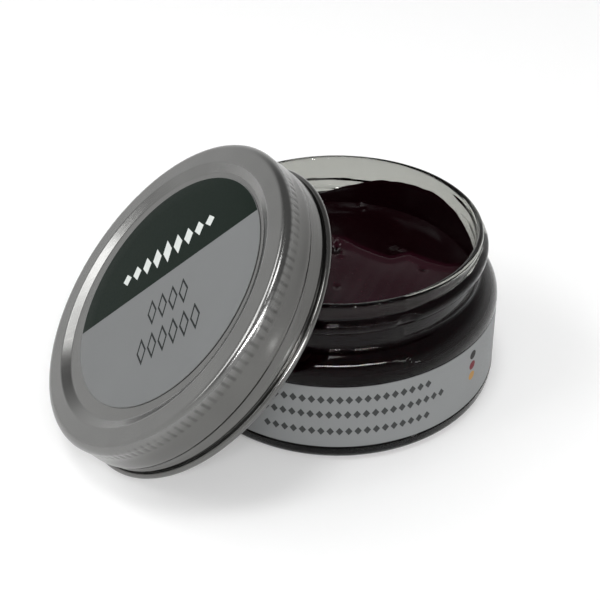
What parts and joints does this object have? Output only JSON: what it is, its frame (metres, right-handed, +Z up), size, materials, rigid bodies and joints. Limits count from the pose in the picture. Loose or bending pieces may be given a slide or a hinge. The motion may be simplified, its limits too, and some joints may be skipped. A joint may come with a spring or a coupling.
{
  "type": "shoe cream jar with screw lid",
  "caption": "Squat round glass jar of dark shoe cream, open, with a wrapped label and its curled sheet-metal screw lid taken off and leaning on the neck.",
  "frame": {"origin": "centre of the jar's flat base, on the surface that the jar stands on", "axes": "+Z up along the jar's axis; the lid leans in the XZ plane, with its top facing up and towards -X; the usual viewer stands at -Y"},
  "size_m": [0.0969, 0.0742, 0.052],
  "materials": {
    "clear_glass": "clear pressed glass, polished",
    "cream": "very dark burgundy soft wax cream, glossy",
    "wrap_label": "satin silver-grey printed film",
    "seal": "off-white soft sealing compound",
    "tinplate": "satin lacquered tinplate",
    "round_label": "satin printed film, dark green over silver grey"
  },
  "bodies": {
    "jar": {"glass_jar": "clear_glass", "shoe_cream": "cream", "jar_label": "wrap_label"},
    "seal": {"sealing_ring": "seal"},
    "lid": {"lid_shell": "tinplate", "lid_label": "round_label"}
  },
  "joints": [
    {"name": "lid_lift", "type": "slide", "parent": "jar", "child": "seal", "axis": [-0.6741, 0, 0.7386], "range_m": [0, 0.06]},
    {"name": "lid_turn", "type": "hinge", "parent": "seal", "child": "lid", "pos_m": [-0.03148, -0.006, 0.02247], "axis": [-0.6741, 0, 0.7386], "continuous": true}
  ]
}
